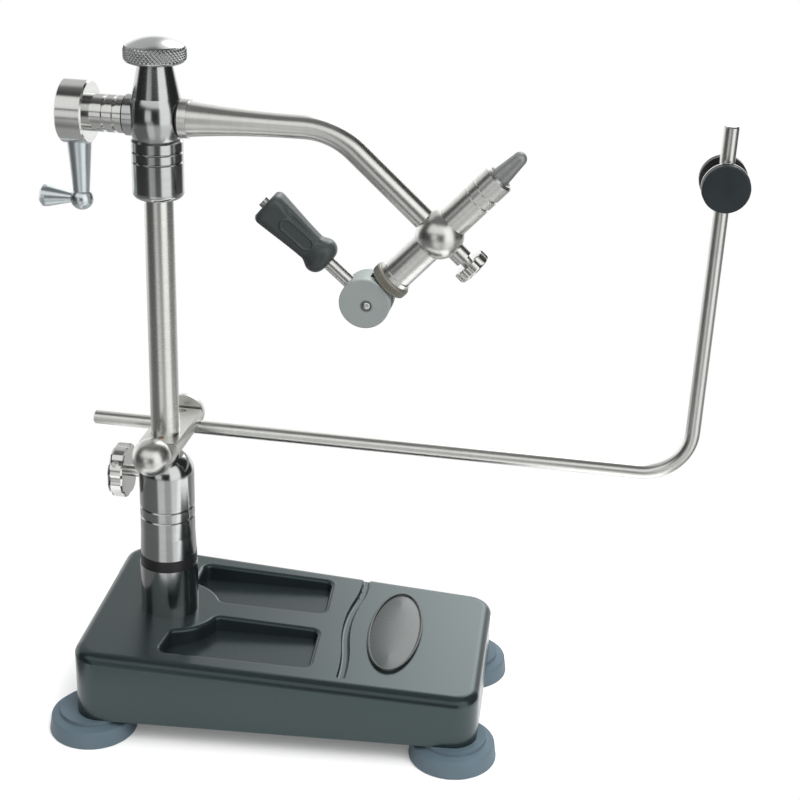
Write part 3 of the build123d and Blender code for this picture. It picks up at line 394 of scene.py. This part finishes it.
steel = rgb(226, 227, 223), rgb(206, 207, 203)
bright = rgb(218, 219, 216), rgb(202, 203, 200)
cool = rgb(218, 226, 228), rgb(203, 212, 215)
nickel = rgb(193, 195, 194), rgb(177, 179, 179)
nose_grey = rgb(150, 153, 151), rgb(132, 135, 134)
ring_grey = rgb(136, 134, 125), rgb(114, 113, 105)
rim_dark = rgb(52, 56, 55), rgb(42, 46, 45)
spool_grey = rgb(92, 92, 92), rgb(72, 72, 72)
screw_grey = rgb(186, 187, 186), rgb(160, 161, 160)
bronze = rgb(182, 140, 84), rgb(150, 112, 62)
foot_grey = rgb(72, 88, 97), rgb(86, 102, 112)
disc_black = rgb(10, 16, 19), rgb(34, 43, 46)
band_black = rgb(22, 21, 24), rgb(34, 33, 36)
finishes = {
    "slate_paint": slate_paint(),
    "plate_field": plate_field(),
    "foot_rubber": soft_rubber("foot_rubber", *foot_grey, roughness=0.5),
    "black_rubber": soft_rubber("black_rubber", *disc_black, roughness=0.4),
    "black_band": soft_rubber("black_band", *band_black, roughness=0.3),
    "grip": moulded_plastic(),
    "stem_steel": turned_metal("stem_steel", *steel, roughness=0.27, axis=UP),
    "arm_steel": turned_metal("arm_steel", *steel, roughness=0.3, axis=SPINDLE),
    "head_steel": turned_metal("head_steel", *steel, roughness=0.3, axis=HEAD_DIR),
    "cross_steel": turned_metal("cross_steel", *steel, roughness=0.33, axis=ACROSS),
    "column_nickel": turned_metal("column_nickel", *nickel, roughness=0.17, axis=UP),
    "lever_steel": turned_metal("lever_steel", *bright, roughness=0.28, axis=LEVER_DIR),
    "crank_alloy": turned_metal("crank_alloy", *cool, roughness=0.3, axis=UP),
    "lock_chrome": turned_metal("lock_chrome", *bright, roughness=0.16, axis=SPINDLE),
    "hub_alloy": faced_metal("hub_alloy", *bright, roughness=0.17, axis=SPINDLE, origin=SPINDLE_AT),
    "nose_steel": turned_metal("nose_steel", *nose_grey, roughness=0.42, axis=HEAD_DIR, metal=0.7),
    "cam_grey": cam_grey(),
    "ring_steel": turned_metal("ring_steel", *ring_grey, roughness=0.38, axis=HEAD_DIR, metal=0.5),
    "rim_chrome": turned_metal("rim_chrome", *bright, roughness=0.14, axis=ACROSS),
    "plate_rim": turned_metal("plate_rim", *rim_dark, roughness=0.22, axis=ACROSS, metal=0.4),
    "spool_steel": turned_metal("spool_steel", *spool_grey, roughness=0.4, axis=ACROSS),
    "screw_steel": turned_metal("screw_steel", *screw_grey, roughness=0.28, axis=UP),
    "bronze": turned_metal("bronze", *bronze, roughness=0.35, axis=UP),
}
node_finishes = {
    "slate_paint": ["base_casting"],
    "plate_field": ["badge_plate"],
    "foot_rubber": ["foot_front_left", "foot_front_right", "foot_rear_left", "foot_rear_right"],
    "black_rubber": ["spool_disc_front", "spool_disc_rear"],
    "black_band": ["band_washer", "thrust_washer_rear", "thrust_washer_front"],
    "grip": ["lever_grip"],
    "stem_steel": ["stem"],
    "arm_steel": ["swan_neck_arm", "spindle", "stem_lock_screw", "cradle_rod"],
    "head_steel": ["jaw_tube", "draw_rod", "jaw_lock_screw", "jaw_lock_knob", "return_spring"],
    "cross_steel": ["clamp_block", "clamp_screw", "cam_pin", "clamp_ball_knob"],
    "column_nickel": ["column", "socket_ring", "rotary_housing", "drag_knob", "drag_screw"],
    "crank_alloy": ["crank_arm", "crank_knob"],
    "lock_chrome": ["stem_lock_knob"],
    "lever_steel": ["lever_rod"],
    "rim_chrome": ["spool_rim_front"],
    "hub_alloy": ["crank_hub", "spindle_collar"],
    "nose_steel": ["collet_jaws"],
    "spool_steel": ["spool_hub", "spool_rim_rear"],
    "cam_grey": ["cam_disc"],
    "ring_steel": ["adjusting_ring"],
    "screw_steel": ["foot_screws", "column_bolt", "bolt_washer", "hub_screw", "grip_screw", "rod_set_screw"],
    "bronze": ["bush_rear", "bush_front", "drag_shoe", "stem_lock_shoe", "jaw_lock_shoe", "clamp_shoe"],
}
for finish_name, members in node_finishes.items():
    for member in members:
        nodes[member].data.materials.clear()
        nodes[member].data.materials.append(finishes[finish_name])


def axes_of(axis):
    """A unit axis with two unit directions square to it; the three are right-handed."""
    axis = np.asarray(axis) / np.linalg.norm(axis)
    nearly_along = 0.9
    helper = ACROSS if abs(axis @ ACROSS) < nearly_along else SPINDLE
    side = np.cross(helper, axis)
    side = side / np.linalg.norm(side)
    return side, np.cross(axis, side), axis


def reach(node, origin, axis):
    """How far a node goes along an axis from a point: lowest and highest distance, and largest radius."""
    points = node_points(node) - origin
    heights = points @ axis
    radii = np.linalg.norm(points - heights[:, None] * axis, axis=1)
    return heights.min(), heights.max(), radii.max()


def eased(corners, ease):
    """A polyline with its inner corners rounded: each becomes the quadratic curve
    (1-t)^2 A + 2t(1-t) P + t^2 B between the points A and B, at most the ease before and after
    the corner P."""
    most_share, bend_points = 0.45, 6
    corners = np.asarray(corners, dtype=float)
    before, corner, after = corners[:-2], corners[1:-1], corners[2:]
    back = before - corner
    ahead = after - corner
    back_share = np.minimum(most_share, ease / np.linalg.norm(back, axis=1))[:, None]
    ahead_share = np.minimum(most_share, ease / np.linalg.norm(ahead, axis=1))[:, None]
    start = (corner + back * back_share)[:, None]
    end = (corner + ahead * ahead_share)[:, None]
    t = np.linspace(0.0, 1.0, bend_points)[None, :, None]
    bends = (1 - t) ** 2 * start + 2 * t * (1 - t) * corner[:, None] + t**2 * end
    return np.vstack([corners[:1], bends.reshape(-1, 2), corners[-1:]])


def spaced(line, step):
    """Points at an even step along a polyline, found by its length so far, with its corners kept."""
    lengths = np.concatenate([[0.0], np.cumsum(np.linalg.norm(np.diff(line, axis=0), axis=1))])
    stations = np.union1d(lengths, np.arange(0.0, lengths[-1], step))
    return np.column_stack([np.interp(stations, lengths, line[:, i]) for i in range(2)])


def angles(around):
    """Even angles round a full turn, as a row."""
    return np.linspace(0.0, FULL_TURN, around, endpoint=False)[None, :]


def ridges(phase):
    """Ridges from 0 to 1 that follow the cosine of a phase."""
    return 0.5 + 0.5 * np.cos(phase)


def ramp(value, low, high):
    """A straight rise from 0 at low to 1 at high."""
    return np.clip((value - low) / (high - low), 0, 1)


def turned_rings(radius, height, around, origin, axis):
    """Rings of a turned piece: origin + height * axis + radius * (cos a * side + sin a * square)."""
    side, square, axis = axes_of(axis)
    angle = angles(around)[..., None]
    spoke = np.cos(angle) * side + np.sin(angle) * square
    return origin + height[..., None] * axis + radius[..., None] * spoke


def skin(name, rings, material, body, replaced=(), loop=False, crease=40.0):
    """A closed mesh over rings of points: four-sided faces between neighbouring rings. The ends are
    closed with fans to their middles, or where loop is set the last ring joins the first. It rides on
    a body."""
    rows, around = rings.shape[:2]
    row, step = np.meshgrid(np.arange(rows if loop else rows - 1), np.arange(around), indexing="ij")
    ahead = (step + 1) % around
    this = row * around
    above = (row + 1) % rows * around
    faces = np.stack([this + step, this + ahead, above + ahead, above + step], -1)
    points = rings.reshape(-1, 3)
    faces = faces.reshape(-1, 4).tolist()
    if not loop:
        first = np.arange(around)
        second = (first + 1) % around
        last = (rows - 1) * around
        points = np.vstack([points, rings[0].mean(axis=0), rings[-1].mean(axis=0)])
        faces += np.stack([np.full(around, rows * around), second, first], -1).tolist()
        faces += np.stack([np.full(around, rows * around + 1), last + first, last + second], -1).tolist()
    mesh = bpy.data.meshes.new(name)
    mesh.from_pydata(points.tolist(), [], faces)
    mesh.shade_smooth()
    mesh.set_sharp_from_angle(angle=math.radians(crease))
    mesh.materials.append(material)
    piece = bpy.data.objects.new(name, mesh)
    bpy.context.scene.collection.objects.link(piece)
    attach(piece, body)
    if replaced:
        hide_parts(*replaced)


def knurled_drag_knob():
    """The drag knob: a turned profile with a dome that falls with the square of its radius, its band cut
    by two crossing sets of helical grooves. Radius = profile - depth * (1 - share one * ridge one -
    share two * ridge two), the ridges being cosines of angle and height. Sizes are in millimetres."""
    foot, top, radius = reach("drag_knob", STEM_FOOT, UP)
    tall = (top - foot) / MM
    wide = radius / MM
    band_low, band_high, band_fade, band_wall = 1.3, 5.7, 0.35, 0.9
    depth, one_share, two_share, teeth, lead, around = 0.6, 0.72, 0.28, 46, 1.5, 644
    shoulder, shoulder_high, top_gap, crown, dome_rows = wide - 1.1, 5.9, 0.02, 0.15, 40
    outline = eased(
        [
            (0.0, 0.0),
            (wide - 2.0, 0.0),
            (wide - 0.6, 0.6),
            (wide, 1.6),
            (wide, 4.6),
            (wide - 0.5, 5.5),
            (wide - 1.0, 5.75),
            (shoulder, shoulder_high),
        ],
        ease=0.5,
    )
    dome_r = np.linspace(shoulder, crown, dome_rows)
    dome_z = tall - top_gap - (tall - top_gap - shoulder_high) * (dome_r / shoulder) ** 2
    line = np.vstack([spaced(outline[1:], step=0.11), np.column_stack([dome_r, dome_z])[1:]])
    angle = angles(around)
    height = line[:, 1:2]
    lean = FULL_TURN / lead
    one = ridges(teeth * angle - lean * height)
    two = ridges(teeth * angle + lean * height)
    window = ramp(height - band_low, 0.0, band_fade) * ramp(band_high - height, 0.0, band_fade)
    wall = line[:, :1] > wide - band_wall
    cut = depth * window * wall * (1 - one_share * one - two_share * two)
    heights = (height + 0 * angle) * MM + foot
    rings = turned_rings((line[:, :1] - cut) * MM, heights, around, STEM_FOOT, UP)
    skin("drag_knob_knurled", rings, finishes["column_nickel"], "drag", ["drag_knob"])


def knurled_adjusting_ring():
    """The adjusting ring: a rounded ring with fine straight ridges, radius = profile - depth *
    (1 - cosine ridge). Its ends stay a little inside the solid's. Sizes are in millimetres."""
    end_gap, bore, around = 0.02, 4.68, 600
    depth, ridge_count, plain_edge, edge_fade, band_wall = 0.22, 75, 0.7, 0.3, 0.5
    back, front, radius = reach("adjusting_ring", BALL_AT, HEAD_DIR)
    back = back + end_gap * MM
    thick = (front - back) / MM - end_gap
    wide = radius / MM
    outline = eased(
        [
            (bore, 0.0),
            (wide - 0.75, 0.0),
            (wide - 0.1, 0.5),
            (wide, 1.1),
            (wide, thick - 1.1),
            (wide - 0.1, thick - 0.5),
            (wide - 0.75, thick),
            (bore, thick),
        ],
        ease=0.35,
    )
    line = spaced(outline, step=0.12)
    angle = angles(around)
    height = line[:, 1:2]
    fade_in = ramp(height - plain_edge, 0.0, edge_fade)
    fade_out = ramp(thick - plain_edge - height, 0.0, edge_fade)
    wall = line[:, :1] > wide - band_wall
    cut = depth * fade_in * fade_out * wall * (1 - ridges(ridge_count * angle))
    heights = (height + 0 * angle) * MM + back
    rings = turned_rings((line[:, :1] - cut) * MM, heights, around, BALL_AT, HEAD_DIR)
    material = finishes["ring_steel"]
    skin("adjusting_ring_knurled", rings, material, "ring", ["adjusting_ring"], loop=True)


def moulded_grip():
    """The lever's grip: superellipse sections |y/d|^n + |z/h|^n = 1 whose half height follows a round
    collar, a neck and a swelling body; a lens-shaped thumb hollow is pressed in, and a plain oval frame
    stands up on its face. Sizes are in millimetres."""
    near, far, _ = reach("lever_grip", CAM_AT, LEVER_DIR)
    length = (far - near) / MM
    mouth, tail_end, around = 1.5, 1.2, 288
    start_rows, middle_rows, end_rows = 30, 170, 26
    collar, neck, swell = 3.7, 8.0, length - 2.4
    half_mouth, half_collar, half_neck, half_swell = 2.6, 6.3, 4.62, 5.95
    depth_share, tail_share, swell_power = 0.92, 0.2, 1.6
    round_power, square_power, power_run = 2.3, 1.3, 5.0
    hollow_at, hollow_run, hollow_share = 14.5, 7.5, 0.2
    hollow_turn, hollow_spread = math.radians(306), 0.26
    oval_at, oval_straight, oval_high, oval_radius = 14.2, 4.4, -1.1, 2.1
    oval_rise, oval_width, oval_facing = 0.44, 0.34, 0.25

    start = np.linspace(0, 1, start_rows) ** 2 * mouth
    middle = np.linspace(mouth, length - tail_end, middle_rows)[1:]
    end = length - tail_end * (1 - np.sqrt(np.linspace(0, 1, end_rows)[1:]))
    place = np.concatenate([start, middle, end])[:, None]
    ease = ramp(place, collar, neck)
    rise = ramp(place, neck, swell)
    half = half_collar + (half_neck - half_collar) * ease**2 * (3 - 2 * ease)
    swelling = rise**swell_power * (swell_power - (swell_power - 1) * rise)
    half = half + (half_swell - half_neck) * swelling
    dome = np.sqrt(np.clip(1 - np.clip(1 - place / collar, 0, 1) ** 2, 0, 1))
    half = np.where(place < collar, half_mouth + (half_collar - half_mouth) * dome, half)
    half = half * (1 - tail_share * ramp(place, swell, length) ** 3)
    power = round_power + square_power * ramp(place, collar, collar + power_run)

    angle = angles(around)
    cosine, sine = np.cos(angle), np.sin(angle)
    front = np.sign(cosine) * np.abs(cosine) ** (2 / power) * half * depth_share
    high = np.sign(sine) * np.abs(sine) ** (2 / power) * half
    hollow = np.exp(-(((place - hollow_at) / hollow_run) ** 4))
    hollow = hollow * np.exp(-(((angle - hollow_turn) / hollow_spread) ** 2))
    shrink = 1 - hollow_share * hollow
    front, high = front * shrink, high * shrink
    past_straight = np.clip(np.abs(place - oval_at) - oval_straight, 0, None)
    from_oval = np.abs(np.hypot(past_straight, high - oval_high) - oval_radius)
    front = front + oval_rise * np.exp(-((from_oval / oval_width) ** 2)) * (cosine > oval_facing)
    side = np.cross(LEVER_DIR, ACROSS)
    rings = CAM_AT + (place + 0 * angle)[..., None] * MM * LEVER_DIR + near * LEVER_DIR
    rings = rings - front[..., None] * MM * ACROSS + high[..., None] * MM * side
    # The angle runs backwards round the lever, so the order is turned for the faces to look outwards
    rings = rings[:, ::-1]
    plastic = finishes["grip"]
    skin("lever_grip_moulded", rings, plastic, "lever", ["lever_grip"], crease=60.0)


def oval_plate():
    """The blank oval plate: a rounded rim, swept round an ellipse, and a dark field domed as 1 - r^2.
    Sizes are in millimetres."""
    around, rim_width, field_edge = 240, 1.3, 1.25
    field_foot, field_low, field_rise, field_middle, field_rows = 0.2, 1.15, 0.5, 0.05, 40
    points = node_points("badge_plate")
    middle = (points.min(axis=0) + points.max(axis=0)) / 2
    _, _, axes = np.linalg.svd(points - middle, full_matrices=False)
    long_way, _, normal = axes
    normal = normal * np.sign(normal[2])
    wide_way = np.cross(long_way, normal)
    half_long = np.abs((points - middle) @ long_way).max()
    half_wide = np.abs((points - middle) @ wide_way).max()
    under = ((points - middle) @ normal).min()
    angle = angles(around)

    def ovals(inset, height):
        """Rings at an inset from the plate's edge and a height above its underside, both in millimetres."""
        across = (half_wide - inset * MM) * np.cos(angle)
        along = (half_long - inset * MM) * np.sin(angle)
        level = middle + (under + height * MM)[..., None] * normal
        return level + across[..., None] * wide_way + along[..., None] * long_way

    rim_outline = eased(
        [
            (rim_width, 0.0),
            (0.02, 0.0),
            (0.02, 1.35),
            (0.25, 1.72),
            (0.75, 1.76),
            (1.1, 1.55),
            (rim_width, 1.2),
            (rim_width, 0.1),
        ],
        ease=0.25,
    )
    rim = spaced(rim_outline, step=0.12)
    rim_rings = ovals(rim[:, :1], rim[:, 1:2])
    skin("plate_rim", rim_rings, finishes["plate_rim"], "base", ["badge_plate"], loop=True)
    share = np.linspace(0.0, 1.0, field_rows)[:, None]
    inset = field_edge + share * (half_wide / MM - field_edge - field_middle)
    dome = field_low + field_rise * (1 - (1 - share) ** 2)
    field_rings = ovals(np.vstack([[[field_edge]], inset]), np.vstack([[[field_foot]], dome]))
    skin("plate_field", field_rings, finishes["plate_field"], "base")


def domed_cam_pin():
    """The cam pin: a turned pin with low domed ends. Sizes are in millimetres."""
    around, crown, dome_share, dome_low, dome_high = 64, 0.05, 0.7, 0.12, 0.5
    low_end, high_end, radius = reach("cam_pin", CAM_AT, ACROSS)
    wide = radius / MM
    span = (high_end - low_end) / MM
    outline = eased(
        [
            (crown, 0.0),
            (wide * dome_share, dome_low),
            (wide, dome_high),
            (wide, span - dome_high),
            (wide * dome_share, span - dome_low),
            (crown, span),
        ],
        ease=0.3,
    )
    line = spaced(outline, step=0.2)
    heights = line[:, 1:2] * MM + low_end + np.zeros((1, around))
    rings = turned_rings(line[:, :1] * MM, heights, around, CAM_AT, ACROSS)
    skin("cam_pin_domed", rings, finishes["cross_steel"], "collet", ["cam_pin"])


knurled_drag_knob()
knurled_adjusting_ring()
moulded_grip()
oval_plate()
domed_cam_pin()


def glow_above(turn, rise):
    """The studio above the haze: a pale backdrop with a shaded part, panels, a softbox and a dim ceiling."""
    behind = turn.step(*BACKDROP_RIGHT) + (1 - turn.step(*BACKDROP_LEFT))
    shade = turn.step(*SHADE_START) * (1 - turn.step(*SHADE_END)) * rise.step(*SHADE_RISE)
    total = behind * (1 - shade * SHADE_DEPTH) * (1 - rise.step(*BACKDROP_TOP)) * BACKDROP_GLOW + DARK_GLOW
    for turns, rises, glow in PANELS:
        total = total + turn.band(*turns) * rise.band(*rises) * glow
    total = total + rise.step(*OVERHEAD_RISE) * OVERHEAD_GLOW
    box_turns = turn.step(*SOFTBOX_RIGHT) + 1 - turn.step(*SOFTBOX_LEFT)
    return total.math("MINIMUM", MOST_GLOW) + box_turns * rise.band(*SOFTBOX_RISES) * SOFTBOX_GLOW


def glow_below(turn, rise):
    """The studio below the haze: its far sides, the panels' lower ends, two low sides and the floor."""
    total = turn.step(*FAR_RIGHT) * FAR_RIGHT_GLOW + (1 - turn.step(*FAR_LEFT)) * FAR_LEFT_GLOW + LOW_GLOW
    for turns, glow in LOW_PANELS:
        total = total + turn.band(*turns) * glow
    low_sides = turn.step(*LOW_RIGHT) * LOW_RIGHT_GLOW + (1 - turn.step(*LOW_LEFT)) * LOW_LEFT_GLOW
    total = total + low_sides * rise.band(*LOW_SIDE_RISES)
    floor = 1 - rise.step(*FLOOR_RISE)
    return total * (1 - floor) + floor * FLOOR_SEEN


def studio_world():
    """White to the camera; to metal, a studio of pale backdrop and panels with dark gaps between them."""
    world = bpy.data.worlds.new("studio")
    bpy.context.scene.world = world
    world.use_nodes = True
    maker = Maker(world.node_tree)
    parts = maker.node("ShaderNodeSeparateXYZ", None, [maker.node("ShaderNodeTexCoord", out="Generated")])
    east, north, up = (parts.other(i) for i in range(3))
    turn = east.math("ARCTAN2", 0 - north) * DEGREES_PER_RADIAN
    rise = up.math("ARCSINE") * DEGREES_PER_RADIAN
    haze = 1 - rise.step(*HAZE_RISE)
    seen = glow_above(turn, rise) * (1 - haze) + glow_below(turn, rise) * haze
    path = maker.node("ShaderNodeLightPath")
    camera = path.other("Is Camera Ray")
    glossy = path.other("Is Glossy Ray")
    strength = camera + glossy * seen + (1 - camera) * (1 - glossy) * AMBIENT
    sky = maker.node("ShaderNodeBackground", None, {"Color": WHITE, "Strength": strength})
    maker.node("ShaderNodeOutputWorld", None, {"Surface": sky})


def studio_floor():
    """A pale table top that keeps the object's shadow."""
    left, near = FLOOR_LOW
    right, far = FLOOR_HIGH
    mesh = bpy.data.meshes.new("floor")
    points = [(left, near, 0.0), (right, near, 0.0), (right, far, 0.0), (left, far, 0.0)]
    mesh.from_pydata(points, [], [(0, 1, 2, 3)])
    floor = bpy.data.objects.new("floor", mesh)
    bpy.context.scene.collection.objects.link(floor)
    material = bpy.data.materials.new("pale_floor")
    material.use_nodes = True
    maker = Maker(material.node_tree)
    path = maker.node("ShaderNodeLightPath")
    seen = path.other("Is Camera Ray") + path.other("Is Glossy Ray")
    matte = maker.node("ShaderNodeBsdfDiffuse", None, {"Color": FLOOR_COLOUR})
    glow = maker.node("ShaderNodeEmission", None, {"Strength": seen * FLOOR_GLOW})
    both = maker.node("ShaderNodeAddShader", None, [matte, glow])
    maker.node("ShaderNodeOutputMaterial", None, {"Surface": both})
    mesh.materials.append(material)


def soft_lamp(name, place, target, size):
    """A square area lamp that points at a target."""
    data = bpy.data.lights.new(name, "AREA")
    data.size = size
    data.energy = LAMP_POWER
    lamp = bpy.data.objects.new(name, data)
    lamp.location = place
    lamp.rotation_mode = "QUATERNION"
    lamp.rotation_quaternion = (Vector(target) - Vector(place)).to_track_quat("-Z", "Y")
    bpy.context.scene.collection.objects.link(lamp)
    lamp.visible_glossy = False


def photo_camera():
    """The camera: its axes from yaw, pitch and roll, then its lens from the focal length in pixels."""
    forward = Vector((
        -math.sin(CAMERA_YAW) * math.cos(CAMERA_PITCH),
        math.cos(CAMERA_YAW) * math.cos(CAMERA_PITCH),
        -math.sin(CAMERA_PITCH),
    ))
    level = Vector((math.cos(CAMERA_YAW), math.sin(CAMERA_YAW), 0.0))
    down = forward.cross(level)
    right = math.cos(CAMERA_ROLL) * level + math.sin(CAMERA_ROLL) * down
    below = -math.sin(CAMERA_ROLL) * level + math.cos(CAMERA_ROLL) * down
    turn = Matrix((right, -below, -forward)).transposed()
    data = bpy.data.cameras.new("camera")
    data.sensor_width = SENSOR_MM
    data.lens = SENSOR_MM * FOCAL_PIXELS / FRAME_PIXELS
    data.clip_start = CAMERA_CLIP
    camera = bpy.data.objects.new("camera", data)
    place = Vector((STEM_X, STEM_Y, 0.0)) + Vector(CAMERA_FROM_STEM)
    camera.matrix_world = Matrix.Translation(place) @ turn.to_4x4()
    bpy.context.scene.collection.objects.link(camera)
    bpy.context.scene.camera = camera


studio_world()
studio_floor()
soft_lamp("key_lamp", *KEY_LAMP)
soft_lamp("top_lamp", *TOP_LAMP)
photo_camera()
bpy.context.scene.view_settings.view_transform = "Standard"
